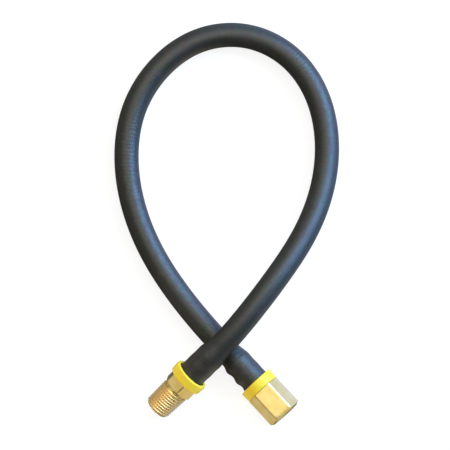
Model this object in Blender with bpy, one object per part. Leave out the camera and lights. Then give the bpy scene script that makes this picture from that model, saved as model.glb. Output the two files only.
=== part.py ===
"""Hose whip: a short rubber air hose with a barbed brass fitting pushed into each end.

Units are metres and +Z is up. The hose lies in a loop on the plane z = 0 and crosses over itself
near its ends. The origin is on that plane, below the middle of the two fittings. The female
fitting points along +X, and the male fitting points away from the loop, with its tip on the plane.
"""

import math

import bmesh
import bpy
import numpy as np
from mathutils import Vector

# Clearance between pieces that touch
SEAT_GAP = 0.0003

# Hose
HOSE_OD = 0.0120
HOSE_WALL = 0.0026
BEVEL_RESOLUTION = 4
HOSE_SIDES = 4 + 2 * BEVEL_RESOLUTION
BARB_BULGE = 0.00015         # extra radius of the hose over each barb
RELAX_LENGTH = 0.0080        # from the last barb to where the hose is its own size again
END_STATIONS = 12            # curve points along each stretched end
STATION_SPACING = 0.0080     # curve points along the loop

# Barbed stem, the same on both fittings
STEM_LENGTH = 0.0190
STEM_BORE = 0.0048
STEM_WALL = 0.0008           # behind each barb, round the bore
BARB_OD = 0.0079
BARB_COUNT = 3
BARB_STEP = 0.0003           # length of the steep side, which holds the hose
BARB_LAND = 0.0004
BARB_RAMP = 0.0030
FIRST_BARB = 0.0024          # depth of the first barb inside the hose
NOSE_WALL = 0.00065          # at the stem's end
BORE_CHAMFER = 0.0003
COLLAR_OD = 0.0092           # centres the ring

# Plastic ring that hides each cut end of the hose
RING_SKIRT = 0.0034          # length of hose that the ring covers
RING_END_WALL = 0.0012
RING_WALL = 0.0017
RING_DRAFT = 0.0003          # radius lost from the lip to the fitting's side
RING_LIP_ROUND = 0.0009
RING_EDGE_ROUND = 0.0005
RING_MOUTH_BREAK = 0.0003    # where the hose enters the skirt

# Hexagons
CORNER_BREAK = 0.0002        # how far the hexagon's corners are turned down
CHAMFER_SHARE = 0.92         # outer end face of a hexagon, as a share of its width across flats
CHAMFER_ANGLE = math.radians(30)
INNER_BREAK = 0.0001         # where a hexagon's flats run up to its ring
MALE_HEX_AF = 0.0140
MALE_HEX_LENGTH = 0.0058
FEMALE_HEX_AF = 0.0159
FEMALE_HEX_LENGTH = 0.0165

# Tapered pipe thread, 1/4 in nominal, 18 threads to the inch
PIPE_TAPER = 1 / 16          # on the diameter
THREAD_TIP_OD = 0.01325
THREAD_LENGTH = 0.0145
THREAD_TIP_CHAMFER = 0.0010
RELIEF_LENGTH = 0.0010
RELIEF_OD = 0.0122
SOCKET_MOUTH_ID = 0.01136
SOCKET_DEPTH = 0.0130
FACE_LAND = 0.0004           # flat left round the socket's countersink
DRILL_ANGLE = math.radians(118)

# Placing, seen from above: the middle of each cut end of the hose, in millimetres
MILLIMETRE = 0.001
MALE_SEAT = (-18.0, -5.0)
MALE_HEADING = math.radians(-90)
MALE_DIP = math.radians(20.5)     # the male fitting slopes down to rest its tip on the plane
MALE_HEX_ROLL = math.radians(13.9)
FEMALE_SEAT = (8.8, 18.6)
FEMALE_HEX_ROLL = math.radians(6.8)

# The hose's route from the male to the female stem: x and y in millimetres, and the height of its
# middle above a hose that lies flat, in hose diameters
ROUTE = (
    (-18.6, 24.4, 1.45),
    (-20.5, 39.3, 1.56),
    (-24.1, 59.0, 1.46),
    (-30.1, 81.9, 0.99),
    (-39.9, 103.2, 0.42),
    (-55.0, 122.0, 0.06),
    (-75.1, 135.4, 0.0),
    (-98.9, 139.8, 0.0),
    (-121.9, 131.8, 0.0),
    (-136.9, 113.0, 0.0),
    (-140.4, 89.1, 0.0),
    (-133.7, 65.8, 0.0),
    (-118.5, 46.8, 0.0),
    (-98.1, 33.0, 0.0),
    (-75.5, 24.5, 0.0),
    (-51.7, 20.3, 0.01),
    (-33.7, 19.0, 0.08),
    (-20.6, 18.7, 0.19),
)

# Smoothness of the turned pieces
BRASS_STEPS = 48
RING_STEPS = 64
ROUND_STEPS = 3
SHARP_ANGLE = math.radians(32)
CURVE_STEPS = 20             # places between two points of the route
MERGE_DISTANCE = 0.00001
EMPTY_SIZE = 0.0100

# Sizes that follow from the ones above
FITTING_START = SEAT_GAP + RING_END_WALL + SEAT_GAP
HOSE_END_RADIUS = (BARB_OD / 2 + SEAT_GAP) / math.cos(math.pi / HOSE_SIDES) + HOSE_WALL
SKIRT_RADIUS = HOSE_END_RADIUS + BARB_BULGE + SEAT_GAP
RING_RADIUS = SKIRT_RADIUS + RING_WALL
LAST_BARB = STEM_LENGTH - BARB_RAMP
BARB_PITCH = (LAST_BARB - FIRST_BARB) / (BARB_COUNT - 1)
MALE_END = FITTING_START + MALE_HEX_LENGTH + THREAD_LENGTH
FEMALE_END = FITTING_START + FEMALE_HEX_LENGTH


def clear_scene():
    for item in list(bpy.data.objects):
        bpy.data.objects.remove(item, do_unlink=True)


def material(name, colour, roughness, metallic):
    made = bpy.data.materials.new(name)
    made.use_nodes = True
    shader = made.node_tree.nodes["Principled BSDF"]
    shader.inputs["Base Color"].default_value = (*colour, 1.0)
    shader.inputs["Roughness"].default_value = roughness
    shader.inputs["Metallic"].default_value = metallic
    made.diffuse_color = (*colour, 1.0)
    return made


def end_empty(name, seat, height, heading, dip):
    """An empty at the middle of the hose's cut end, with local +Z along the fitting's axis."""
    empty = bpy.data.objects.new(name, None)
    empty.empty_display_size = EMPTY_SIZE
    empty.location = (seat[0] * MILLIMETRE, seat[1] * MILLIMETRE, height)
    empty.rotation_euler = (0.0, math.pi / 2 + dip, heading)
    bpy.context.scene.collection.objects.link(empty)
    return empty


def turned_piece(name, outline, steps, parent):
    """Turns a closed outline of (radius, height) points about the parent's local Z axis."""
    mesh = bpy.data.meshes.new(name)
    points = [(radius, 0.0, height) for radius, height in outline]
    edges = [(i, (i + 1) % len(points)) for i in range(len(points))]
    mesh.from_pydata(points, edges, [])
    piece = bpy.data.objects.new(name, mesh)
    bpy.context.scene.collection.objects.link(piece)
    piece.parent = parent
    screw = piece.modifiers.new("turn", "SCREW")
    screw.steps = steps
    screw.render_steps = steps
    screw.use_merge_vertices = True
    screw.merge_threshold = MERGE_DISTANCE
    return piece


def quarter_round(centre, radius, start):
    """Points of a quarter circle that runs clockwise from the start angle, in (radius, height)."""
    points = []
    for step in range(ROUND_STEPS + 1):
        angle = start - math.pi / 2 * step / ROUND_STEPS
        across = centre[0] + radius * math.cos(angle)
        along = centre[1] + radius * math.sin(angle)
        points.append((across, along))
    return points


def hexagon_cutter(name, across_flats, low, high, roll, parent):
    """A hexagonal ring that mills the flats of a turned blank between two heights."""
    inner = across_flats / math.sqrt(3)
    shape = bmesh.new()
    loops = []
    for radius, height in ((inner, low), (inner, high), (2 * inner, high), (2 * inner, low)):
        loop = []
        for corner in range(6):
            angle = roll + math.radians(30 + 60 * corner)
            place = (radius * math.cos(angle), radius * math.sin(angle), height)
            loop.append(shape.verts.new(place))
        loops.append(loop)
    for this, following in zip(loops, loops[1:] + loops[:1]):
        for corner in range(6):
            after = (corner + 1) % 6
            shape.faces.new((this[corner], this[after], following[after], following[corner]))
    bmesh.ops.recalc_face_normals(shape, faces=shape.faces)
    mesh = bpy.data.meshes.new(name)
    shape.to_mesh(mesh)
    shape.free()
    cutter = bpy.data.objects.new(name, mesh)
    bpy.context.scene.collection.objects.link(cutter)
    cutter.parent = parent
    cutter.hide_render = True
    cutter.display_type = "WIRE"
    return cutter


def mill_flats(piece, across_flats, length, overrun, roll):
    """Cuts a hexagon, from the fitting's start up to its length and a little beyond."""
    cutter = hexagon_cutter(
        piece.name + "_flats", across_flats, FITTING_START - SEAT_GAP / 2,
        FITTING_START + length + overrun, roll, piece.parent,
    )
    cut = piece.modifiers.new("flats", "BOOLEAN")
    cut.operation = "DIFFERENCE"
    cut.solver = "EXACT"
    cut.object = cutter


def finish(piece, look):
    """Keeps the made shape as a plain mesh, shades it smooth and gives it its material."""
    bpy.context.view_layer.update()
    depsgraph = bpy.context.evaluated_depsgraph_get()
    shape = bpy.data.meshes.new_from_object(piece.evaluated_get(depsgraph))
    piece.modifiers.clear()
    piece.data = shape
    shape.shade_smooth()
    shape.set_sharp_from_angle(angle=SHARP_ANGLE)
    shape.materials.clear()
    shape.materials.append(look)


def stem_outline():
    """The collar and the barbed stem from the top down, then back up inside the bore."""
    bore = STEM_BORE / 2
    root = bore + STEM_WALL
    crest = BARB_OD / 2
    nose = bore + NOSE_WALL
    points = [(COLLAR_OD / 2, FITTING_START), (COLLAR_OD / 2, SEAT_GAP), (root, SEAT_GAP)]
    for barb in range(BARB_COUNT):
        top = -(FIRST_BARB + barb * BARB_PITCH)
        points += [(root, top + BARB_STEP), (crest, top), (crest, top - BARB_LAND)]
        if barb < BARB_COUNT - 1:
            points.append((root, top - BARB_LAND - BARB_RAMP))
    points += [(nose, -STEM_LENGTH), (bore + BORE_CHAMFER, -STEM_LENGTH)]
    points.append((bore, -STEM_LENGTH + BORE_CHAMFER))
    return points


def hexagon_blank(across_flats, low, high, top_radius):
    """The round blank of a hexagon, chamfered at its outer end, from the top down."""
    corner = across_flats / math.sqrt(3) - CORNER_BREAK
    face = CHAMFER_SHARE * across_flats / 2
    drop = (corner - face) * math.tan(CHAMFER_ANGLE)
    return [
        (top_radius, high), (face, high), (corner, high - drop),
        (corner, low + INNER_BREAK), (corner - INNER_BREAK, low),
    ]


def male_fitting(parent, look):
    hex_end = FITTING_START + MALE_HEX_LENGTH
    bore = STEM_BORE / 2
    tip = THREAD_TIP_OD / 2
    thread_start = hex_end + RELIEF_LENGTH
    widening = PIPE_TAPER / 2
    behind_chamfer = tip + THREAD_TIP_CHAMFER * widening
    widest = tip + (MALE_END - thread_start) * widening
    relief = RELIEF_OD / 2
    outline = [
        (bore + BORE_CHAMFER, MALE_END),
        (tip - THREAD_TIP_CHAMFER, MALE_END),
        (behind_chamfer, MALE_END - THREAD_TIP_CHAMFER),
        (widest, thread_start),
        (relief, thread_start - (widest - relief) * math.tan(CHAMFER_ANGLE)),
    ]
    outline += hexagon_blank(MALE_HEX_AF, FITTING_START, hex_end, relief)
    outline += stem_outline()
    outline.append((bore, MALE_END - BORE_CHAMFER))
    piece = turned_piece("male_fitting", outline, BRASS_STEPS, parent)
    mill_flats(piece, MALE_HEX_AF, MALE_HEX_LENGTH, RELIEF_LENGTH / 3, MALE_HEX_ROLL)
    finish(piece, look)
    return piece


def female_fitting(parent, look):
    bore = STEM_BORE / 2
    mouth = SOCKET_MOUTH_ID / 2
    sink = CHAMFER_SHARE * FEMALE_HEX_AF / 2 - FACE_LAND
    socket_floor = FEMALE_END - SOCKET_DEPTH
    floor_radius = mouth - SOCKET_DEPTH * PIPE_TAPER / 2
    cone = (floor_radius - bore) / math.tan(DRILL_ANGLE / 2)
    outline = hexagon_blank(FEMALE_HEX_AF, FITTING_START, FEMALE_END, sink)
    outline += stem_outline()
    outline += [
        (bore, socket_floor - cone),
        (floor_radius, socket_floor),
        (mouth, FEMALE_END - (sink - mouth)),
    ]
    piece = turned_piece("female_fitting", outline, BRASS_STEPS, parent)
    mill_flats(piece, FEMALE_HEX_AF, FEMALE_HEX_LENGTH, RELIEF_LENGTH, FEMALE_HEX_ROLL)
    finish(piece, look)
    return piece


def ring(name, parent, look):
    """A cup-shaped ring: an end wall round the collar, and a skirt over the end of the hose."""
    hole = COLLAR_OD / 2 + SEAT_GAP
    top = SEAT_GAP + RING_END_WALL
    lip = -RING_SKIRT
    top_radius = RING_RADIUS - RING_DRAFT
    edge_centre = (top_radius - RING_EDGE_ROUND, top - RING_EDGE_ROUND)
    lip_centre = (RING_RADIUS - RING_LIP_ROUND, lip + RING_LIP_ROUND)
    outline = [(hole, top)]
    outline += quarter_round(edge_centre, RING_EDGE_ROUND, math.pi / 2)
    outline += quarter_round(lip_centre, RING_LIP_ROUND, 0.0)
    outline += [
        (SKIRT_RADIUS + RING_MOUTH_BREAK, lip),
        (SKIRT_RADIUS, lip + RING_MOUTH_BREAK),
        (SKIRT_RADIUS, SEAT_GAP),
        (hole, SEAT_GAP),
    ]
    piece = turned_piece(name, outline, RING_STEPS, parent)
    finish(piece, look)
    return piece


def axis_of(empty):
    bpy.context.view_layer.update()
    return (empty.matrix_world.to_3x3() @ Vector((0.0, 0.0, 1.0))).normalized()


def smooth_curve(points, first_direction, last_direction, steps):
    """A cubic curve through the points, whose bend never jumps, as a dense row of places."""
    spans = np.linalg.norm(np.diff(points, axis=0), axis=1)
    count = len(points)
    matrix = np.zeros((count, count))
    aims = np.zeros((count, 3))
    matrix[0, 0] = 1.0
    aims[0] = first_direction
    matrix[-1, -1] = 1.0
    aims[-1] = last_direction
    for i in range(1, count - 1):
        before = spans[i - 1]
        after = spans[i]
        matrix[i, i - 1] = after
        matrix[i, i] = 2 * (before + after)
        matrix[i, i + 1] = before
        step_in = after * (points[i] - points[i - 1]) / before
        step_out = before * (points[i + 1] - points[i]) / after
        aims[i] = 3 * (step_in + step_out)
    tangents = np.linalg.solve(matrix, aims)
    places = []
    for i in range(count - 1):
        for t in np.arange(steps) / steps:
            places.append(
                (2 * t**3 - 3 * t**2 + 1) * points[i]
                + (t**3 - 2 * t**2 + t) * spans[i] * tangents[i]
                + (3 * t**2 - 2 * t**3) * points[i + 1]
                + (t**3 - t**2) * spans[i] * tangents[i + 1]
            )
    places.append(points[-1])
    return np.array(places)


def hose_path(male_end, female_end):
    """The dense middle line of the hose: straight over each stem, and one curve between them."""
    male_seat = np.array(male_end.location)
    female_seat = np.array(female_end.location)
    male_axis = np.array(axis_of(male_end))
    female_axis = np.array(axis_of(female_end))
    start = male_seat - male_axis * STEM_LENGTH
    finish_point = female_seat - female_axis * STEM_LENGTH
    free = [start]
    for x, y, lift in ROUTE:
        height = HOSE_OD / 2 + lift * HOSE_OD
        free.append(np.array((x * MILLIMETRE, y * MILLIMETRE, height)))
    free.append(finish_point)
    curve = smooth_curve(np.array(free), -male_axis, female_axis, CURVE_STEPS)
    return np.vstack((male_seat, curve, female_seat))


def hose_radius(depth):
    """The hose's outer radius at a depth from its nearer cut end."""
    relaxed = min(max((depth - LAST_BARB) / RELAX_LENGTH, 0.0), 1.0)
    stretch = 1 - relaxed**2 * (3 - 2 * relaxed)
    wave = math.cos(2 * math.pi * (depth - FIRST_BARB) / BARB_PITCH)
    swollen = HOSE_END_RADIUS + BARB_BULGE * wave
    return HOSE_OD / 2 + (swollen - HOSE_OD / 2) * stretch


def hose(male_end, female_end, look):
    path = hose_path(male_end, female_end)
    gone = np.concatenate(([0.0], np.cumsum(np.linalg.norm(np.diff(path, axis=0), axis=1))))
    total = gone[-1]
    stretched = LAST_BARB + RELAX_LENGTH
    middle = round((total - 2 * stretched) / STATION_SPACING)
    near = np.linspace(0.0, stretched, END_STATIONS)
    stations = np.concatenate(
        (near, np.linspace(stretched, total - stretched, middle + 1)[1:-1], total - near[::-1])
    )
    curve = bpy.data.curves.new("hose", "CURVE")
    curve.dimensions = "3D"
    curve.bevel_depth = HOSE_OD / 2
    curve.bevel_resolution = BEVEL_RESOLUTION
    spline = curve.splines.new("POLY")
    spline.points.add(len(stations) - 1)
    for point, station in zip(spline.points, stations):
        place = [np.interp(station, gone, path[:, axis]) for axis in range(3)]
        point.co = (*place, 1.0)
        point.radius = hose_radius(min(station, total - station)) / (HOSE_OD / 2)
    piece = bpy.data.objects.new("hose", curve)
    bpy.context.scene.collection.objects.link(piece)
    curve.materials.append(look)
    bore = piece.modifiers.new("bore", "SOLIDIFY")
    bore.thickness = HOSE_WALL
    bore.offset = -1.0
    return piece


def main():
    clear_scene()
    rubber = material("black_rubber", (0.022, 0.023, 0.027), 0.62, 0.0)
    brass = material("brass", (0.80, 0.58, 0.28), 0.30, 1.0)
    yellow = material("yellow_plastic", (0.85, 0.62, 0.04), 0.42, 0.0)

    tip_radius = THREAD_TIP_OD / 2 + THREAD_TIP_CHAMFER * PIPE_TAPER / 2
    to_tip = MALE_END - THREAD_TIP_CHAMFER
    male_height = to_tip * math.sin(MALE_DIP) + tip_radius * math.cos(MALE_DIP)
    male_end = end_empty("male_end", MALE_SEAT, male_height, MALE_HEADING, MALE_DIP)
    female_end = end_empty("female_end", FEMALE_SEAT, RING_RADIUS, 0.0, 0.0)

    male_fitting(male_end, brass)
    female_fitting(female_end, brass)
    ring("male_ring", male_end, yellow)
    ring("female_ring", female_end, yellow)
    hose(male_end, female_end, rubber)


main()
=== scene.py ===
"""Looks of the hose whip: textile-wrapped rubber hose, threaded brass fittings and yellow plastic rings.

Lengths are metres in the part's own frame, +Z up. OD and ID are outer and inner diameters, and AF is
the size of a hexagon across its flats. The hose lies in a loop and crosses over itself near its ends.
Each fitting and its ring are turned about an axis that starts at the middle of the hose's cut end and
points away from the hose.
"""

import math

import bmesh
import bpy
import numpy as np
from mathutils import Euler, Matrix, Vector


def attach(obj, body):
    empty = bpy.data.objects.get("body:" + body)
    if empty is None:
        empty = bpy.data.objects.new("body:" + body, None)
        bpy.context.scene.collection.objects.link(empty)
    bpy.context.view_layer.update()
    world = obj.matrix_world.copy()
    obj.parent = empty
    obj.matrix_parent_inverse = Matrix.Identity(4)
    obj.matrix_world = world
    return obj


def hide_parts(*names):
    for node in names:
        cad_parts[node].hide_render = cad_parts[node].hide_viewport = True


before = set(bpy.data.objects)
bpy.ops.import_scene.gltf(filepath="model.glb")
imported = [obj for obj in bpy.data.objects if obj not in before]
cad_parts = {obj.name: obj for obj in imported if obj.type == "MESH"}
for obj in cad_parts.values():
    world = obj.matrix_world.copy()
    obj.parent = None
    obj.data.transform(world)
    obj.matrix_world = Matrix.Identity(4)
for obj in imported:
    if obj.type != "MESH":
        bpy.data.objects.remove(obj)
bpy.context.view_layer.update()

# Camera: nearly straight down, a long way off, with the photograph's scale at the target
FRAME_PIXELS = 450
METRES_PER_PIXEL = 0.00049
CAMERA_TARGET = Vector((-0.06154, 0.06001, 0.0060))
CAMERA_DISTANCE = 3.0
CAMERA_TILT = math.radians(6.0)
CAMERA_TURN = math.radians(47.325)
SENSOR_WIDTH = 36.0
CLIP_START = 0.1
CLIP_END = 20.0
PICTURE_RIGHT = Vector((math.cos(CAMERA_TURN), math.sin(CAMERA_TURN), 0.0))
PICTURE_UP = Vector((-math.sin(CAMERA_TURN), math.cos(CAMERA_TURN), 0.0))

# Light: a large warm softbox above, and a cool window at the picture's right. Each lamp has its
# direction (picture's right, picture's up, towards the camera), distance, size, power and colour.
LAMPS = (
    ("top_softbox", (0.03, 0.32, 1.0), 1.6, 2.0, 17.5, (1.0, 0.95, 0.79)),
    ("cool_window", (1.0, 0.55, 0.75), 1.6, 1.1, 39.0, (0.31, 0.57, 1.0)),
)
# Small cards that the brass mirrors. Each has its middle, the point it faces, size, power and colour.
CARDS = (
    ("card_by_female", (0.019, -0.006, 0.0005), (0.019, 0.0186, 0.012), 0.034, 0.0017, (1.0, 0.92, 0.72)),
    ("card_by_male", (0.040, -0.040, 0.016), (-0.018, -0.012, 0.010), 0.050, 0.0042, (1.0, 0.92, 0.76)),
    ("card_at_left", (-0.059, -0.052, 0.065), (-0.018, -0.010, 0.012), 0.050, 0.0032, (1.0, 0.92, 0.76)),
    ("card_low_left", (-0.062, -0.024, 0.003), (-0.018, -0.018, 0.009), 0.036, 0.0015, (1.0, 0.90, 0.70)),
    ("card_at_tip", (-0.018, -0.064, 0.006), (-0.018, -0.022, 0.011), 0.036, 0.0034, (1.0, 0.88, 0.66)),
    ("card_over_male", (0.0135, -0.060, 0.056), (-0.018, -0.013, 0.014), 0.024, 0.0014, (1.0, 0.92, 0.76)),
    ("card_over_female", (0.019, -0.018, 0.047), (0.019, 0.0186, 0.014), 0.018, 0.0008, (1.0, 0.92, 0.72)),
)
# The room round the table has its own light, and each wall adds its colour. A wall has its direction,
# given as for a lamp, where it begins (0 is square to its direction and 1 is straight along it) and
# its colour. The last two lie low, in place of the table, which the brass doesn't mirror.
ROOM_LIGHT = (0.10, 0.099, 0.085)
WALLS = (
    ((1.0, 0.60, 0.0), 0.2, (0.40, 0.83, 1.62)),
    ((0.0, 1.0, 0.2), 0.0, (0.26, 0.26, 0.25)),
    ((-1.0, 0.0, 0.6), 0.5, (0.20, 0.19, 0.17)),
    ((0.735, 0.678, -0.7), 0.8, (0.34, 0.02, 0.0)),
    ((0.678, -0.735, -0.6), 0.85, (0.90, 0.80, 0.55)),
)

# Stage: a pale round table, and a wall round its edge for low views
FLOOR_PAINT = (0.22, 0.22, 0.22)
FLOOR_GLOW = (0.85, 0.85, 0.85)
BACKDROP_PAINT = (0.0, 0.0, 0.0)
BACKDROP_GLOW = (1.0, 1.0, 1.0)
BACKDROP_HEIGHT = 4.0
STAGE_RADIUS = 4.0
STAGE_SIDES = 96
STAGE_ROUGHNESS = 0.9
STAGE_GLOSS = 0.1

# Looks: a noise has its scale, detail and, where it isn't the usual one, roughness. A colour stop has
# its place on a noise. A bump has its strength and its height in metres.
NOISE_RANGE = (0.3, 0.7)     # where most of a noise lies
USUAL_NOISE_ROUGHNESS = 0.5

# Rubber's look
RUBBER_COLOURS = (
    (0.32, (0.015, 0.020, 0.011)),
    (0.45, (0.024, 0.023, 0.015)),
    (0.54, (0.021, 0.020, 0.019)),
    (0.68, (0.036, 0.025, 0.016)),
)
SHEEN_TINTS = (
    (0.35, (0.84, 1.0, 0.95)),
    (0.50, (1.0, 1.0, 1.0)),
    (0.65, (1.0, 0.86, 0.98)),
)
RUBBER_ROUGHNESS = (0.27, 0.39)
RUBBER_GLOSS = 0.6
RUBBER_BUMP = (0.8, 0.00005)
BLOOM_NOISE = (190.0, 4.0, 0.6)          # cloudy changes of colour and gloss
PATCH_NOISE = (330.0, 2.0)               # tints the sheen and bends the broad ridges
DRIFT_NOISE = (420.0, 3.0)               # bends the print's threads
GRAIN_NOISE = (1700.0, 4.0)              # the rubber's own grain
THREAD_DRIFT = 0.8           # how far the print's threads wander, in radians of their wave
BAND_DRIFT = 1.5             # the same for its broad ridges
RIB_WEIGHT = 0.35            # the weights of the relief's parts
OVER_UNDER_WEIGHT = 0.65
BAND_WEIGHT = 0.38
GRAIN_WEIGHT = 0.9
WEAVE_PAINTED_LIGHT_AND_SHADE = (0.75, 1.2)    # painted shade in the weave's hollows and painted light on its crests, as factors on the colour

# Brass's look
BRASS_COLOURS = (
    (0.30, (0.77, 0.56, 0.19)),
    (0.50, (0.82, 0.65, 0.27)),
    (0.72, (0.86, 0.71, 0.37)),
)
# Painted light in the thread: the whole thread takes a warm painted tint so that its glints of the cool
# window come out tan, and its roots are painted paler to lift the shade that falls in them.
THREAD_PAINTED_WARM_TINT = (0.89, 0.60, 0.20)
THREAD_PAINTED_WARM_SHARE = 0.8
ROOT_PAINTED_LIGHT_COLOUR = (0.97, 0.78, 0.46)
ROOT_PAINTED_LIGHT_SHARE = 0.9
CREST_MARK = 0.5             # a point's groove mark is 0 off the thread, this on a crest and 1 in a root
BRASS_ROUGHNESS = (0.26, 0.36)
TORN_ROUGHNESS = 0.30        # what the torn metal of a root adds
BRASS_BUMP = (0.12, 0.00002)
BRASS_CLOUD_NOISE = (160.0, 4.0)
STREAK_SCALE = (2200.0, 2200.0, 90.0)    # narrow across the bar and long along it
STREAK_NOISE = (1.0, 3.0)
STREAK_SHADE = (0.87, 1.07)

# Plastic's look
PLASTIC_COLOURS = (
    (0.25, (0.92, 0.63, 0.026)),
    (0.55, (0.95, 0.66, 0.038)),
    (0.85, (0.96, 0.70, 0.055)),
)
PLASTIC_ROUGHNESS = (0.34, 0.46)
PLASTIC_GLOSS = 0.3
PLASTIC_BUMP = (0.15, 0.00003)
PLASTIC_CLOUD_NOISE = (140.0, 4.0)
PLASTIC_GRAIN_NOISE = (2400.0, 2.0)
PLASTIC_DEPTH_SHARE = 0.15   # how much of its light comes from under the surface
PLASTIC_DEPTH = (0.0012, 0.0009, 0.0002)     # how deep its red, green and blue light goes

# Clearance between pieces that touch
SEAT_GAP = 0.0003

# Hose
HOSE_OD = 0.0120
HOSE_WALL = 0.0026
BARB_BULGE = 0.00015         # the space that the rings leave for the hose to swell over a barb
BARB_WAVE = 0.00006          # how far the hose really swells over each barb
SIDE_BULGE = 0.00030         # extra bulge of the female end's hose, on the picture's left side only
BULGE_SIDE = (-0.734, -0.679, 0.0)
RELAX_LENGTH = 0.0080
HOSE_SIDES = 32
BORE_SIDES = 16
HOSE_SHARP_ANGLE = math.radians(50)

# The cloth's print on the hose
WRAP_RIB = 0.00062           # from one crosswise rib to the next
RIB_ROWS = 4
RIB_DEPTH = 0.00003
WRAP_COLUMNS = 60            # lengthwise threads round the hose
WRAP_BAND = 0.00187          # from one broad ridge that the wound wrap leaves to the next
BORE_ROW_STEP = 16           # the bore has a circle of points at every sixteenth one of the outside

# Barbed stem
STEM_LENGTH = 0.0190
STEM_BORE = 0.0048
STEM_WALL = 0.0008
BARB_OD = 0.0079
BARB_COUNT = 3
BARB_STEP = 0.0003
BARB_LAND = 0.0004
BARB_RAMP = 0.0030
FIRST_BARB = 0.0024
NOSE_WALL = 0.00065
BORE_CHAMFER = 0.0003
BORE_RING = 0.0020           # how far inside a bore's mouth its own ring of points is
COLLAR_OD = 0.0092

# Plastic rings
RING_SKIRT = 0.0034
RING_END_WALL = 0.0012
RING_WALL = 0.0017
RING_DRAFT = 0.0003
RING_LIP_ROUND = 0.0011
RING_EDGE_ROUND = 0.0005
RING_MOUTH_BREAK = 0.0003
RING_INNER_ROUND = 0.0002
RING_REACH = 0.00022         # how much of the clearance to the hexagon the ring really fills
RING_SEAM = 0.0010           # where on the end face the ring's outline begins, out from the hole
RING_COLUMNS = 160
RING_ROUND_STEPS = 7

# Turned brass
EDGE_ROUND = 0.00012
ROUND_STEPS = 3
ROUND_SHARE = 0.4            # the most of a side that the round at one of its ends takes
NEARLY_STRAIGHT = math.radians(170)
WELD_DISTANCE = 0.000001
TURNED_SHARP_ANGLE = math.radians(40)

# Hexagons
CORNER_BREAK = 0.0002
CORNER_EASE = 0.00003
CHAMFER_SHARE = 0.92
CHAMFER_ANGLE = math.radians(30)
CHAMFER_EDGE = 0.00008
INNER_BREAK = 0.0001
FLAT_ROWS = 9
MALE_HEX_AF = 0.0140
MALE_HEX_LENGTH = 0.0058
FEMALE_HEX_AF = 0.0159
FEMALE_HEX_LENGTH = 0.0165
# Degrees from a corner to the columns of points on either side of it
CORNER_COLUMNS = (0.0, 0.9, 1.8, 2.4, 3.0, 4.2, 6.5, 10.0, 14.0, 18.0, 22.0, 26.0)

# Tapered pipe thread, 18 threads to the inch
PITCH = 0.0254 / 18
THREAD_HEIGHT = 0.8 * PITCH
PIPE_TAPER = 1 / 16
THREAD_TIP_OD = 0.01325
THREAD_LENGTH = 0.0145
THREAD_TIP_CHAMFER = 0.0010
TIP_FACE_MARGIN = 0.0002
RELIEF_LENGTH = 0.0010
RELIEF_OD = 0.0122
RELIEF_CORNER = 0.0002
RELIEF_EDGE = 0.0003
RUN_OUT_TURNS = 0.8          # turns in which the male thread comes to its full depth
RUN_OUT_DEPTH = 0.15         # the share of its depth with which it begins
SOCKET_MOUTH_ID = 0.01136
SOCKET_DEPTH = 0.0130
SOCKET_RUN_OUT_TURNS = 2.5
FACE_LAND = 0.0004
DRILL_ANGLE = math.radians(118)
# One turn of thread as (share of the pitch, share of the depth): crest, flank, root, flank
THREAD_PROFILE = (
    (0.000, 0.00), (0.035, 0.03), (0.250, 0.50), (0.465, 0.97),
    (0.500, 1.00), (0.535, 0.97), (0.750, 0.50), (0.965, 0.03),
)

# Placing: the middle of each cut end of the hose
MALE_SEAT = (-0.0180, -0.0050)
MALE_HEADING = math.radians(-90)
MALE_DIP = math.radians(20.5)
MALE_HEX_ROLL = math.radians(13.9)
FEMALE_SEAT = (0.0088, 0.0186)
FEMALE_HEX_ROLL = math.radians(6.8)

# The hose's route between the stems: x, y and height of its middle
ROUTE = (
    (-0.0186, 0.0244, 0.02340),
    (-0.0205, 0.0393, 0.02472),
    (-0.0241, 0.0590, 0.02352),
    (-0.0301, 0.0819, 0.01788),
    (-0.0399, 0.1032, 0.01104),
    (-0.0550, 0.1220, 0.00672),
    (-0.0751, 0.1354, 0.00600),
    (-0.0989, 0.1398, 0.00600),
    (-0.1219, 0.1318, 0.00600),
    (-0.1369, 0.1130, 0.00600),
    (-0.1404, 0.0891, 0.00600),
    (-0.1337, 0.0658, 0.00600),
    (-0.1185, 0.0468, 0.00600),
    (-0.0981, 0.0330, 0.00600),
    (-0.0755, 0.0245, 0.00600),
    (-0.0517, 0.0203, 0.00612),
    (-0.0337, 0.0190, 0.00696),
    (-0.0206, 0.0187, 0.00828),
)
CURVE_STEPS = 40

# Sizes that follow from the ones above. The solid hose that the rings were made to fit has flat sides,
# so its corners stand out a little further than a round hose would.
FITTING_START = SEAT_GAP + RING_END_WALL + SEAT_GAP
SOLID_HOSE_SIDES = 12
HOSE_END_RADIUS = (BARB_OD / 2 + SEAT_GAP) / math.cos(math.pi / SOLID_HOSE_SIDES) + HOSE_WALL
SKIRT_RADIUS = HOSE_END_RADIUS + BARB_BULGE + SEAT_GAP
RING_RADIUS = SKIRT_RADIUS + RING_WALL
LAST_BARB = STEM_LENGTH - BARB_RAMP
BARB_PITCH = (LAST_BARB - FIRST_BARB) / (BARB_COUNT - 1)
MALE_END = FITTING_START + MALE_HEX_LENGTH + THREAD_LENGTH
FEMALE_END = FITTING_START + FEMALE_HEX_LENGTH


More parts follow.
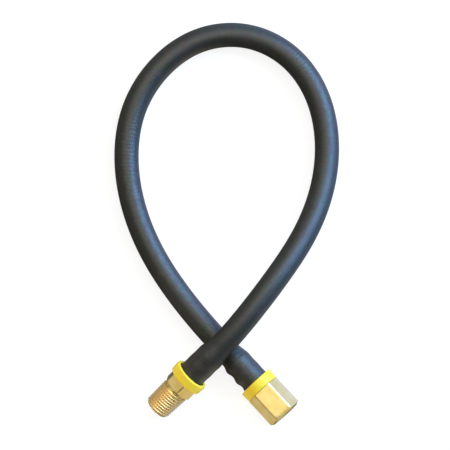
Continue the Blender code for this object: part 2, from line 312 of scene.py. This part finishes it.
class NodeTree:
    """The nodes of a material or a world. A socket's value is an output, a number, a vector or a colour."""

    def __init__(self, owner):
        owner.use_nodes = True
        self.nodes = owner.node_tree.nodes
        self.links = owner.node_tree.links

    def fill(self, node, values):
        """Gives a node's input sockets, found by name or number, their values."""
        for key, value in values.items():
            socket = node.inputs[key]
            if isinstance(value, bpy.types.NodeSocket):
                self.links.new(value, socket)
            elif socket.type == "RGBA":
                socket.default_value = (*value, 1.0)
            else:
                socket.default_value = value

    def add(self, kind, values=None, **settings):
        node = self.nodes.new(kind)
        for key, value in settings.items():
            setattr(node, key, value)
        self.fill(node, values or {})
        return node

    def attribute(self, name, output):
        return self.add("ShaderNodeAttribute", attribute_name=name).outputs[output]

    def maths(self, operation, first, second=0.0):
        return self.add("ShaderNodeMath", {0: first, 1: second}, operation=operation).outputs[0]

    def total(self, *parts):
        """The sum of parts that are (output, weight)."""
        scaled = [self.maths("MULTIPLY", output, weight) for output, weight in parts]
        result = scaled[0]
        for part in scaled[1:]:
            result = self.maths("ADD", result, part)
        return result

    def noise(self, place, scale, detail, roughness=USUAL_NOISE_ROUGHNESS):
        values = {"Vector": place, "Scale": scale, "Detail": detail, "Roughness": roughness}
        return self.add("ShaderNodeTexNoise", values).outputs["Fac"]

    def map_range(self, source, low, high, to_low, to_high):
        values = {"Value": source, "From Min": low, "From Max": high, "To Min": to_low, "To Max": to_high}
        return self.add("ShaderNodeMapRange", values).outputs["Result"]

    def spread(self, noise, low, high):
        """Takes the usual range of a noise to another one."""
        return self.map_range(noise, *NOISE_RANGE, low, high)

    def ramp(self, source, stops):
        """A colour ramp. Each stop is (place, colour)."""
        node = self.add("ShaderNodeValToRGB", {"Fac": source})
        elements = node.color_ramp.elements
        while len(elements) < len(stops):
            elements.new(0.5)
        for element, (place, colour) in zip(elements, stops):
            element.position = place
            element.color = (*colour, 1.0)
        return node.outputs["Color"]

    def mixed(self, kind, factor, first, second):
        """A mix of two colours."""
        values = {"Factor": factor, "A": first, "B": second}
        return self.add("ShaderNodeMix", values, data_type="RGBA", blend_type=kind).outputs["Result"]

    def bump(self, height, strength, distance):
        values = {"Height": height, "Strength": strength, "Distance": distance}
        return self.add("ShaderNodeBump", values).outputs["Normal"]


# Camera, stage and light

def make_camera():
    away = Vector((0.0, 0.0, math.cos(CAMERA_TILT))) - PICTURE_UP * math.sin(CAMERA_TILT)
    data = bpy.data.cameras.new("camera")
    data.sensor_width = SENSOR_WIDTH
    data.lens = SENSOR_WIDTH * CAMERA_DISTANCE / (FRAME_PIXELS * METRES_PER_PIXEL)
    data.clip_start = CLIP_START
    data.clip_end = CLIP_END
    camera = bpy.data.objects.new("camera", data)
    camera.location = CAMERA_TARGET + away * CAMERA_DISTANCE
    camera.rotation_euler = (CAMERA_TILT, 0.0, CAMERA_TURN)
    bpy.context.scene.collection.objects.link(camera)
    bpy.context.scene.camera = camera


def picture_direction(right, up, towards):
    """A direction given by the picture's right and up and the way to the camera, as a unit vector."""
    return (PICTURE_RIGHT * right + PICTURE_UP * up + Vector((0.0, 0.0, 1.0)) * towards).normalized()


def area_light(name, place, aim, size, power, colour):
    data = bpy.data.lights.new(name, "AREA")
    data.shape = "DISK"
    data.size = size
    data.energy = power
    data.color = colour
    light = bpy.data.objects.new(name, data)
    light.location = place
    light.rotation_euler = (place - aim).to_track_quat("Z", "Y").to_euler()
    light.visible_camera = False
    bpy.context.scene.collection.objects.link(light)


def stage_piece(name, shape, paint_colour, glow):
    """A matt piece of the stage that the brass and the hose don't mirror."""
    mesh = bpy.data.meshes.new(name)
    shape.to_mesh(mesh)
    shape.free()
    piece = bpy.data.objects.new(name, mesh)
    bpy.context.scene.collection.objects.link(piece)
    paint = bpy.data.materials.new(name)
    tree = NodeTree(paint)
    tree.fill(tree.nodes["Principled BSDF"], {
        "Base Color": paint_colour,
        "Roughness": STAGE_ROUGHNESS,
        "Specular IOR Level": STAGE_GLOSS,
        "Emission Color": glow,
        "Emission Strength": 1.0,
    })
    mesh.materials.append(paint)
    piece.visible_glossy = False
    return piece


def make_floor():
    shape = bmesh.new()
    bmesh.ops.create_circle(shape, cap_ends=True, radius=STAGE_RADIUS, segments=STAGE_SIDES)
    stage_piece("floor", shape, FLOOR_PAINT, FLOOR_GLOW)


def make_backdrop():
    """A pale wall all round, for low views. It lights nothing and stops no light."""
    shape = bmesh.new()
    bmesh.ops.create_cone(
        shape, segments=STAGE_SIDES, radius1=STAGE_RADIUS, radius2=STAGE_RADIUS, depth=BACKDROP_HEIGHT,
        matrix=Matrix.Translation((0.0, 0.0, BACKDROP_HEIGHT / 2)),
    )
    wall = stage_piece("backdrop", shape, BACKDROP_PAINT, BACKDROP_GLOW)
    wall.visible_diffuse = False
    wall.visible_shadow = False


def make_light():
    world = bpy.data.worlds.new("studio")
    bpy.context.scene.world = world
    tree = NodeTree(world)
    direction = tree.add("ShaderNodeTexCoord").outputs["Generated"]
    light = ROOM_LIGHT
    for side, begins, colour in WALLS:
        ways = {0: direction, 1: picture_direction(*side)}
        facing = tree.add("ShaderNodeVectorMath", ways, operation="DOT_PRODUCT").outputs["Value"]
        light = tree.mixed("ADD", tree.map_range(facing, begins, 1.0, 0.0, 1.0), light, colour)
    tree.fill(tree.nodes["Background"], {"Color": light})
    for name, side, distance, size, power, colour in LAMPS:
        place = CAMERA_TARGET + picture_direction(*side) * distance
        area_light(name, place, CAMERA_TARGET, size, power, colour)
    for name, place, aim, size, power, colour in CARDS:
        area_light(name, Vector(place), Vector(aim), size, power, colour)
    bpy.context.scene.view_settings.view_transform = "Standard"
    bpy.context.scene.view_settings.look = "None"


# Materials

def rubber_material():
    """Black rubber with the print of the cloth that it was wound in: a weave, and broad ridges, with
    painted light on the weave's crests and painted shade in its hollows.
    """
    made = bpy.data.materials.new("textile_wrapped_rubber")
    tree = NodeTree(made)
    wrap = tree.add("ShaderNodeUVMap", uv_map="wrap").outputs["UV"]
    split = tree.add("ShaderNodeSeparateXYZ", {0: wrap})
    turn = split.outputs["X"]
    along = split.outputs["Y"]
    place = tree.add("ShaderNodeTexCoord").outputs["Object"]
    bloom = tree.noise(place, *BLOOM_NOISE)
    patch = tree.noise(place, *PATCH_NOISE)
    grain = tree.noise(place, *GRAIN_NOISE)

    drift = tree.spread(tree.noise(place, *DRIFT_NOISE), -THREAD_DRIFT, THREAD_DRIFT)
    rib_phase = tree.maths("MULTIPLY", along, 2 * math.pi / WRAP_RIB)
    rib = tree.maths("SINE", tree.maths("ADD", rib_phase, drift))
    column_phase = tree.maths("MULTIPLY", turn, 2 * math.pi * WRAP_COLUMNS)
    column = tree.maths("SINE", tree.maths("ADD", column_phase, drift))
    every_other_rib = tree.maths("SINE", tree.maths("MULTIPLY", rib_phase, 0.5))
    over_under = tree.maths("MULTIPLY", column, every_other_rib)
    weave = tree.total((rib, RIB_WEIGHT), (over_under, OVER_UNDER_WEIGHT))

    winding = tree.maths("ADD", tree.maths("DIVIDE", along, WRAP_BAND), turn)
    band_phase = tree.maths("MULTIPLY", winding, 2 * math.pi)
    band_drift = tree.spread(patch, -BAND_DRIFT, BAND_DRIFT)
    band = tree.maths("SINE", tree.maths("ADD", band_phase, band_drift))
    relief = tree.total((weave, 1.0), (band, BAND_WEIGHT), (grain, GRAIN_WEIGHT))

    # Painted light and shade: the colour is lighter on the weave's crests and darker in its hollows.
    shade = tree.map_range(weave, -1.0, 1.0, *WEAVE_PAINTED_LIGHT_AND_SHADE)
    tree.fill(tree.nodes["Principled BSDF"], {
        "Base Color": tree.mixed("MULTIPLY", 1.0, tree.ramp(bloom, RUBBER_COLOURS), shade),
        "Roughness": tree.spread(bloom, *RUBBER_ROUGHNESS),
        "Specular Tint": tree.ramp(patch, SHEEN_TINTS),
        "Specular IOR Level": RUBBER_GLOSS,
        "Normal": tree.bump(relief, *RUBBER_BUMP),
    })
    return made


def brass_material():
    """Bright brass with streaks along the bar, rougher in the thread, where a warm painted tint sets the
    colour of the glints and the roots are painted paler to lift their shade.

    own_place is each point's place about its own piece's axis, so that the streaks follow the bar.
    """
    made = bpy.data.materials.new("machined_brass")
    tree = NodeTree(made)
    place = tree.attribute("own_place", "Vector")
    stretched = tree.add("ShaderNodeMapping", {"Vector": place, "Scale": STREAK_SCALE}).outputs["Vector"]
    streak = tree.noise(stretched, *STREAK_NOISE)
    cloud = tree.noise(place, *BRASS_CLOUD_NOISE)
    groove = tree.attribute("groove", "Fac")

    shade = tree.spread(streak, *STREAK_SHADE)
    streaked = tree.mixed("MULTIPLY", 1.0, tree.ramp(cloud, BRASS_COLOURS), shade)
    # Painted light on the thread: a warm painted tint for the colour of its glints, and painted light in
    # its roots against their shade
    painted_warm_mask = tree.map_range(groove, 0.0, CREST_MARK, 0.0, THREAD_PAINTED_WARM_SHARE)
    painted_root_light_mask = tree.map_range(groove, CREST_MARK, 1.0, 0.0, ROOT_PAINTED_LIGHT_SHARE)
    thread_with_painted_warmth = tree.mixed("MIX", painted_warm_mask, streaked, THREAD_PAINTED_WARM_TINT)
    dull = tree.spread(streak, *BRASS_ROUGHNESS)
    torn = tree.maths("MULTIPLY", groove, TORN_ROUGHNESS)
    tree.fill(tree.nodes["Principled BSDF"], {
        "Base Color": tree.mixed("MIX", painted_root_light_mask, thread_with_painted_warmth, ROOT_PAINTED_LIGHT_COLOUR),
        "Metallic": 1.0,
        "Roughness": tree.maths("ADD", dull, torn),
        "Normal": tree.bump(streak, *BRASS_BUMP),
    })
    return made


def plastic_material():
    made = bpy.data.materials.new("yellow_moulded_plastic")
    tree = NodeTree(made)
    place = tree.attribute("own_place", "Vector")
    cloud = tree.noise(place, *PLASTIC_CLOUD_NOISE)
    grain = tree.noise(place, *PLASTIC_GRAIN_NOISE)
    tree.fill(tree.nodes["Principled BSDF"], {
        "Base Color": tree.ramp(cloud, PLASTIC_COLOURS),
        "Roughness": tree.spread(cloud, *PLASTIC_ROUGHNESS),
        "Specular IOR Level": PLASTIC_GLOSS,
        "Subsurface Weight": PLASTIC_DEPTH_SHARE,
        "Subsurface Radius": PLASTIC_DEPTH,
        "Subsurface Scale": 1.0,
        "Normal": tree.bump(grain, *PLASTIC_BUMP),
    })
    return made


# Turned pieces: a closed row of rings of points, each an array of (radius, height) over the columns

def end_matrix(seat, height, heading, dip):
    """Places a turned piece's own axis at an end of the hose."""
    turn = Euler((0.0, math.pi / 2 + dip, heading)).to_matrix().to_4x4()
    return Matrix.Translation((seat[0], seat[1], height)) @ turn


def finished_piece(name, mesh, look, sharp_angle, weld=0.0):
    """Turns a mesh's faces outward, after welding what lies closer than asked, and makes it a piece."""
    shape = bmesh.new()
    shape.from_mesh(mesh)
    if weld:
        bmesh.ops.remove_doubles(shape, verts=shape.verts, dist=weld)
        bmesh.ops.dissolve_degenerate(shape, edges=shape.edges, dist=weld)
    bmesh.ops.recalc_face_normals(shape, faces=shape.faces)
    shape.to_mesh(mesh)
    shape.free()
    mesh.shade_smooth()
    mesh.set_sharp_from_angle(angle=sharp_angle)
    mesh.materials.append(look)
    piece = bpy.data.objects.new(name, mesh)
    bpy.context.scene.collection.objects.link(piece)
    return piece


def hexagon_columns(roll):
    """Column angles in radians, close together at a hexagon's corners and far apart on its flats."""
    sector = sorted({sign * angle for angle in CORNER_COLUMNS for sign in (-1, 1)} | {30.0})
    angles = [math.radians(60 * corner + 30 + angle) + roll for corner in range(6) for angle in sector]
    return np.array(angles + [angles[0] + 2 * math.pi])


def points_round(columns, radius, height):
    """One ring of points. The radius and the height are each one number, or one for every column."""
    level = np.zeros(len(columns))
    return np.stack((level + radius, level + height), axis=1)


def rounded_corner(before, here, after, wanted, steps):
    """The points of an arc that rounds a corner, or the corner itself where it is nearly straight."""
    back = before - here
    ahead = after - here
    angle = back.angle(ahead)
    if angle > NEARLY_STRAIGHT:
        return [here]
    reach = min(wanted / math.tan(angle / 2), ROUND_SHARE * back.length, ROUND_SHARE * ahead.length)
    radius = reach * math.tan(angle / 2)
    halfway = (back.normalized() + ahead.normalized()).normalized()
    middle = here + halfway * (radius / math.sin(angle / 2))
    first = here + back.normalized() * reach - middle
    last = here + ahead.normalized() * reach - middle
    sweep = first.angle(last)
    made = []
    for step in range(steps + 1):
        share = step / steps
        from_first = first * math.sin((1 - share) * sweep)
        from_last = last * math.sin(share * sweep)
        made.append(middle + (from_first + from_last) / math.sin(sweep))
    return made


def rounded_outline(points, usual_round, steps):
    """Rounds the corners of an outline of (radius, height) points, or (radius, height, round) ones."""
    corners = [Vector(point[:2]) for point in points]
    made = [corners[0]]
    for i in range(1, len(points) - 1):
        wanted = points[i][2] if len(points[i]) == 3 else usual_round
        made += rounded_corner(corners[i - 1], corners[i], corners[i + 1], wanted, steps)
    made.append(corners[-1])
    return made


def turned_rings(columns, outline, usual_round=EDGE_ROUND, steps=ROUND_STEPS):
    return [points_round(columns, *point) for point in rounded_outline(outline, usual_round, steps)]


def hexagon_radius(columns, across_flats, roll):
    """The hexagon's radius at each column, with its corners turned down and their edges eased."""
    folded = (columns - roll + math.pi / 6) % (math.pi / 3) - math.pi / 6
    flat = across_flats / 2 / np.cos(folded)
    corner = across_flats / math.sqrt(3) - CORNER_BREAK
    return (flat + corner - np.sqrt((flat - corner) ** 2 + CORNER_EASE**2)) / 2


def hexagon_rings(columns, across_flats, roll, high, low):
    """The milled hexagon between two heights, from the top down, with a turned chamfer at its top."""
    radius = hexagon_radius(columns, across_flats, roll)
    face = CHAMFER_SHARE * across_flats / 2
    slope = math.tan(CHAMFER_ANGLE)
    drop = (radius - face) * slope
    edge = CHAMFER_EDGE
    top = high - drop - edge
    bottom = low + INNER_BREAK
    outline = [
        (face - 2 * edge, high),
        (face - edge, high),
        (face + edge, high - edge * slope),
        (radius - edge, high - drop + edge * slope),
        (radius - edge / 4, high - drop),
    ]
    outline += [(radius, top + (bottom - top) * share) for share in np.linspace(0.0, 1.0, FLAT_ROWS)]
    outline.append((radius - INNER_BREAK, low))
    return [points_round(columns, *point) for point in outline]


def thread_rings(columns, high, low, crest_radius, inward, depth_share, limit):
    """The rings of a right-hand thread from the top down, and their groove marks.

    crest_radius, depth_share and limit are functions of height. inward is 1 for an outer thread and
    -1 for one in a socket.
    """
    shares = [share for share, _ in THREAD_PROFILE]
    depths = [depth for _, depth in THREAD_PROFILE]
    turns = int((high - low) / PITCH) + 3
    shift = columns / (2 * math.pi) * PITCH
    rings = []
    grooves = []
    for turn in range(turns, -2, -1):
        for share in reversed(shares):
            height = np.clip(low + (turn - 1 + share) * PITCH + shift, low, high)
            phase = ((height - low - shift) / PITCH) % 1.0
            cut = np.interp(phase, shares + [1.0], depths + depths[:1]) * depth_share(height)
            radius = crest_radius(height) - inward * cut * THREAD_HEIGHT
            radius = inward * np.minimum(inward * radius, inward * limit(height))
            rings.append(points_round(columns, radius, height))
            grooves.append(CREST_MARK + (1 - CREST_MARK) * cut)
    return rings, grooves


def plain(rings):
    """Rings off the thread, with their groove marks."""
    return rings, [np.zeros(len(rings[0]))] * len(rings)


def turned_piece(name, columns, sections, matrix, look):
    """Skins a closed row of rings. Each section is some of its rings, and their groove marks."""
    rows = np.array([ring for rings, _ in sections for ring in rings])
    marks = np.array([groove for _, grooves in sections for groove in grooves], dtype=np.float32)
    count, width = rows.shape[:2]
    x = rows[:, :, 0] * np.cos(columns)
    y = rows[:, :, 0] * np.sin(columns)
    own_places = np.stack((x, y, rows[:, :, 1]), axis=2).reshape(-1, 3)
    places = own_places @ np.array(matrix.to_3x3()).T + np.array(matrix.translation)
    faces = []
    for i in range(count):
        here = i * width
        after = (i + 1) % count * width
        for k in range(width - 1):
            faces.append((here + k, here + k + 1, after + k + 1, after + k))
    mesh = bpy.data.meshes.new(name)
    mesh.from_pydata(places.tolist(), [], faces)
    layer = mesh.attributes.new("groove", "FLOAT", "POINT")
    layer.data.foreach_set("value", marks.reshape(-1))
    layer = mesh.attributes.new("own_place", "FLOAT_VECTOR", "POINT")
    layer.data.foreach_set("vector", own_places.astype(np.float32).reshape(-1))
    return finished_piece(name, mesh, look, TURNED_SHARP_ANGLE, WELD_DISTANCE)


def stem_points():
    """The collar and the barbed stem from the top down, to the nose and back up into the bore."""
    bore = STEM_BORE / 2
    root = bore + STEM_WALL
    crest = BARB_OD / 2
    points = [(COLLAR_OD / 2, FITTING_START), (COLLAR_OD / 2, SEAT_GAP), (root, SEAT_GAP)]
    for barb in range(BARB_COUNT):
        top = -(FIRST_BARB + barb * BARB_PITCH)
        points += [(root, top + BARB_STEP), (crest, top), (crest, top - BARB_LAND)]
        if barb < BARB_COUNT - 1:
            points.append((root, top - BARB_LAND - BARB_RAMP))
    points += [(bore + NOSE_WALL, -STEM_LENGTH), (bore + BORE_CHAMFER, -STEM_LENGTH)]
    points.append((bore, -STEM_LENGTH + BORE_CHAMFER))
    return points


def male_fitting(matrix, look):
    """Its outline goes from the bore at the tip over the thread and hexagon to the stem."""
    columns = hexagon_columns(MALE_HEX_ROLL)
    hex_end = FITTING_START + MALE_HEX_LENGTH
    thread_start = hex_end + RELIEF_LENGTH
    bore = STEM_BORE / 2
    tip = THREAD_TIP_OD / 2
    relief = RELIEF_OD / 2

    def crest(height):
        return tip + (MALE_END - height) * PIPE_TAPER / 2

    def depth(height):
        return np.clip((height - thread_start) / (RUN_OUT_TURNS * PITCH), RUN_OUT_DEPTH, 1.0)

    def limit(height):
        at_tip = tip - THREAD_TIP_CHAMFER + (MALE_END - height)
        at_root = relief + (height - thread_start + RELIEF_EDGE) / math.tan(CHAMFER_ANGLE)
        return np.minimum(at_tip, at_root)

    tip_rings = turned_rings(columns, [
        (bore, MALE_END - BORE_RING),
        (bore, MALE_END - BORE_CHAMFER),
        (bore + BORE_CHAMFER, MALE_END),
        (tip - THREAD_TIP_CHAMFER - TIP_FACE_MARGIN, MALE_END),
    ])
    thread = thread_rings(columns, MALE_END, thread_start, crest, 1, depth, limit)
    relief_rings = turned_rings(columns, [
        (relief, thread_start),
        (relief, hex_end + RELIEF_CORNER),
        (relief + RELIEF_EDGE, hex_end),
    ])
    hexagon = hexagon_rings(columns, MALE_HEX_AF, MALE_HEX_ROLL, hex_end, FITTING_START)
    stem = turned_rings(columns, stem_points())
    sections = [plain(tip_rings), thread, plain(relief_rings + hexagon + stem)]
    return turned_piece("male_pipe_fitting", columns, sections, matrix, look)


def female_fitting(matrix, look):
    """Its outline goes from the collar over the stem, up the bore and socket and down the hexagon."""
    columns = hexagon_columns(FEMALE_HEX_ROLL)
    bore = STEM_BORE / 2
    mouth = SOCKET_MOUTH_ID / 2
    sink = CHAMFER_SHARE * FEMALE_HEX_AF / 2 - FACE_LAND
    socket_floor = FEMALE_END - SOCKET_DEPTH
    floor_radius = mouth - SOCKET_DEPTH * PIPE_TAPER / 2
    cone = (floor_radius - bore) / math.tan(DRILL_ANGLE / 2)

    def crest(height):
        return mouth - (FEMALE_END - height) * PIPE_TAPER / 2

    def depth(height):
        return np.clip((height - socket_floor) / (SOCKET_RUN_OUT_TURNS * PITCH), 0.0, 1.0)

    def limit(height):
        return sink - (FEMALE_END - height)

    stem = turned_rings(columns, stem_points())
    floor_rings = turned_rings(columns, [
        (bore, -STEM_LENGTH + BORE_RING),
        (bore, socket_floor - cone),
        (floor_radius, socket_floor),
    ])
    thread, grooves = thread_rings(columns, FEMALE_END, socket_floor, crest, -1, depth, limit)
    hexagon = hexagon_rings(columns, FEMALE_HEX_AF, FEMALE_HEX_ROLL, FEMALE_END, FITTING_START)
    sections = [plain(stem + floor_rings), (thread[::-1], grooves[::-1]), plain(hexagon)]
    return turned_piece("female_pipe_fitting", columns, sections, matrix, look)


def cup_ring(name, matrix, look):
    columns = np.linspace(0.0, 2 * math.pi, RING_COLUMNS + 1)
    hole = COLLAR_OD / 2 + SEAT_GAP
    top = SEAT_GAP + RING_END_WALL + RING_REACH
    lip = -RING_SKIRT
    outline = [
        (hole + RING_SEAM, top),
        (RING_RADIUS - RING_DRAFT, top, RING_EDGE_ROUND),
        (RING_RADIUS, lip, RING_LIP_ROUND),
        (SKIRT_RADIUS, lip, RING_MOUTH_BREAK),
        (SKIRT_RADIUS, SEAT_GAP),
        (hole, SEAT_GAP),
        (hole, top),
        (hole + RING_SEAM / 2, top),
    ]
    rings = turned_rings(columns, outline, RING_INNER_ROUND, RING_ROUND_STEPS)
    return turned_piece(name, columns, [plain(rings)], matrix, look)


# Hose

def smooth_curve(points, first_direction, last_direction, steps):
    """A cubic curve through the points, whose bend never jumps, as a dense row of places."""
    spans = np.linalg.norm(np.diff(points, axis=0), axis=1)
    count = len(points)
    matrix = np.zeros((count, count))
    aims = np.zeros((count, 3))
    matrix[0, 0] = 1.0
    aims[0] = first_direction
    matrix[-1, -1] = 1.0
    aims[-1] = last_direction
    for i in range(1, count - 1):
        before = spans[i - 1]
        after = spans[i]
        matrix[i, i - 1] = after
        matrix[i, i] = 2 * (before + after)
        matrix[i, i + 1] = before
        step_in = after * (points[i] - points[i - 1]) / before
        step_out = before * (points[i + 1] - points[i]) / after
        aims[i] = 3 * (step_in + step_out)
    tangents = np.linalg.solve(matrix, aims)
    places = []
    for i in range(count - 1):
        for t in np.arange(steps) / steps:
            places.append(
                (2 * t**3 - 3 * t**2 + 1) * points[i]
                + (t**3 - 2 * t**2 + t) * spans[i] * tangents[i]
                + (3 * t**2 - 2 * t**3) * points[i + 1]
                + (t**3 - t**2) * spans[i] * tangents[i + 1]
            )
    places.append(points[-1])
    return np.array(places)


def seat_and_axis(matrix):
    """The middle of a cut end of the hose, and the direction of its fitting."""
    return np.array(matrix.translation), np.array(matrix.to_3x3() @ Vector((0.0, 0.0, 1.0)))


def hose_path(male_matrix, female_matrix):
    """Evenly spaced places along the hose's middle, and their distances from the male end."""
    male_seat, male_axis = seat_and_axis(male_matrix)
    female_seat, female_axis = seat_and_axis(female_matrix)
    male_nose = male_seat - male_axis * STEM_LENGTH
    female_nose = female_seat - female_axis * STEM_LENGTH
    curve = smooth_curve(np.array([male_nose, *ROUTE, female_nose]), -male_axis, female_axis, CURVE_STEPS)
    path = np.vstack((male_seat, curve, female_seat))
    gone = np.concatenate(([0.0], np.cumsum(np.linalg.norm(np.diff(path, axis=0), axis=1))))
    count = round(gone[-1] * RIB_ROWS / WRAP_RIB / BORE_ROW_STEP) * BORE_ROW_STEP
    stations = np.linspace(0.0, gone[-1], count + 1)
    places = np.stack([np.interp(stations, gone, path[:, axis]) for axis in range(3)], axis=1)
    return places, stations


def stretch_share(depth):
    """1 over the barbs and 0 where the hose is its own size again, at depths from a cut end."""
    relaxed = np.clip((depth - LAST_BARB) / RELAX_LENGTH, 0.0, 1.0)
    return 1 - relaxed**2 * (3 - 2 * relaxed)


def barb_wave(depth):
    return np.cos(2 * math.pi * (depth - FIRST_BARB) / BARB_PITCH)


def hose_radius(depth):
    """The hose's outer radius at depths from the nearer cut end."""
    swollen = HOSE_END_RADIUS + BARB_WAVE * barb_wave(depth)
    return HOSE_OD / 2 + (swollen - HOSE_OD / 2) * stretch_share(depth)


def side_bulge(depth, outward):
    """The female end's hose stands out a little further over its barbs on one side."""
    facing = np.clip(outward @ np.array(picture_direction(*BULGE_SIDE)), 0.0, 1.0) ** 2
    clear_of_ring = np.clip((depth - RING_SKIRT) / FIRST_BARB, 0.0, 1.0)
    along = barb_wave(depth) * stretch_share(depth) * clear_of_ring
    return SIDE_BULGE * along[:, None] * facing


def carried_frames(places):
    """Two directions across the hose at each place, carried along it without twist."""
    ahead = np.gradient(places, axis=0)
    ahead /= np.linalg.norm(ahead, axis=1)[:, None]
    side = np.cross(ahead[0], (0.0, 0.0, 1.0))
    sides = []
    for direction in ahead:
        side = side - direction * (side @ direction)
        side = side / np.linalg.norm(side)
        sides.append(side)
    sides = np.array(sides)
    return sides, np.cross(ahead, sides)


def directions_round(sides, ups, count):
    """Unit directions out of the hose's middle, the same count of them at each place."""
    angles = np.linspace(0.0, 2 * math.pi, count, endpoint=False)
    across = np.cos(angles)[None, :, None] * sides[:, None, :]
    return across + np.sin(angles)[None, :, None] * ups[:, None, :]


def hose_points(places, stations):
    """Circles of points over the outside of the hose, and others, further apart, in its bore."""
    total = stations[-1]
    depth = np.minimum(stations, total - stations)
    sides, ups = carried_frames(places)
    rib = np.sin(2 * math.pi * np.arange(len(stations)) / RIB_ROWS)
    clear_of_rings = np.clip((depth - RING_SKIRT) / WRAP_RIB, 0.0, 1.0)
    radii = hose_radius(depth) - RIB_DEPTH * (0.5 - 0.5 * rib) * clear_of_rings
    from_female = np.where(stations > total / 2, depth, total)
    outward = directions_round(sides, ups, HOSE_SIDES)
    reach = radii[:, None] + side_bulge(from_female, outward)
    outer = places[:, None, :] + outward * reach[:, :, None]

    rows = slice(None, None, BORE_ROW_STEP)
    bore_radii = hose_radius(depth)[rows] - HOSE_WALL
    outward = directions_round(sides[rows], ups[rows], BORE_SIDES)
    inner = places[rows][:, None, :] + outward * bore_radii[:, None, None]
    return outer, inner


def skin_faces(rows, count, first):
    """Quads between rows of points that start at an index, with each corner's turn and row."""
    faces = []
    corners = []
    for i in range(rows - 1):
        for k in range(count):
            after = (k + 1) % count
            here = first + i * count
            faces.append((here + k, here + after, here + count + after, here + count + k))
            corners += [(k / count, i), ((k + 1) / count, i), ((k + 1) / count, i + 1), (k / count, i + 1)]
    return faces, corners


def hose_faces(outer_rows, inner_rows, stations):
    """Faces over the outside, the bore and both cut ends, with each corner's turn and distance."""
    faces, corners = skin_faces(outer_rows, HOSE_SIDES, 0)
    marks = [(turn, stations[row]) for turn, row in corners]
    first_inner = outer_rows * HOSE_SIDES
    inner_faces, corners = skin_faces(inner_rows, BORE_SIDES, first_inner)
    faces += inner_faces
    marks += [(turn, stations[row * BORE_ROW_STEP]) for turn, row in corners]
    step = HOSE_SIDES // BORE_SIDES
    last_outer = first_inner - HOSE_SIDES
    last_inner = first_inner + (inner_rows - 1) * BORE_SIDES
    for outer, inner, station in ((0, first_inner, 0.0), (last_outer, last_inner, stations[-1])):
        for k in range(BORE_SIDES):
            row = [outer + (k * step + i) % HOSE_SIDES for i in range(step + 1)]
            face = row + [inner + (k + 1) % BORE_SIDES, inner + k]
            faces.append(face)
            marks += [(k / BORE_SIDES, station)] * len(face)
    return faces, marks


def hose(male_matrix, female_matrix, look):
    """The hose, and the places along its middle."""
    places, stations = hose_path(male_matrix, female_matrix)
    outer, inner = hose_points(places, stations)
    faces, marks = hose_faces(len(outer), len(inner), stations)
    mesh = bpy.data.meshes.new("textile_hose")
    mesh.from_pydata(np.vstack((outer.reshape(-1, 3), inner.reshape(-1, 3))).tolist(), [], faces)
    wrap = mesh.uv_layers.new(name="wrap")
    wrap.data.foreach_set("uv", np.array(marks, dtype=np.float32).reshape(-1))
    return finished_piece("textile_hose", mesh, look, HOSE_SHARP_ANGLE), places


def male_seat_height():
    """The height of the male end's seat at which the thread's tip rests on the table."""
    tip_radius = THREAD_TIP_OD / 2 + THREAD_TIP_CHAMFER * PIPE_TAPER / 2
    to_tip = MALE_END - THREAD_TIP_CHAMFER
    return to_tip * math.sin(MALE_DIP) + tip_radius * math.cos(MALE_DIP)


def main():
    make_camera()
    male = end_matrix(MALE_SEAT, male_seat_height(), MALE_HEADING, MALE_DIP)
    female = end_matrix(FEMALE_SEAT, RING_RADIUS, 0.0, 0.0)

    wrapped_hose, places = hose(male, female, rubber_material())
    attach(wrapped_hose, "root")
    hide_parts("hose")

    brass = brass_material()
    yellow = plastic_material()
    for piece, node, slot in (
        (male_fitting(male, brass), "male_fitting", "brass"),
        (female_fitting(female, brass), "female_fitting", "brass"),
        (cup_ring("male_cup_ring", male, yellow), "male_ring", "yellow_plastic"),
        (cup_ring("female_cup_ring", female, yellow), "female_ring", "yellow_plastic"),
    ):
        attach(piece, "root")
        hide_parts(node)

    make_floor()
    make_backdrop()
    make_light()


main()
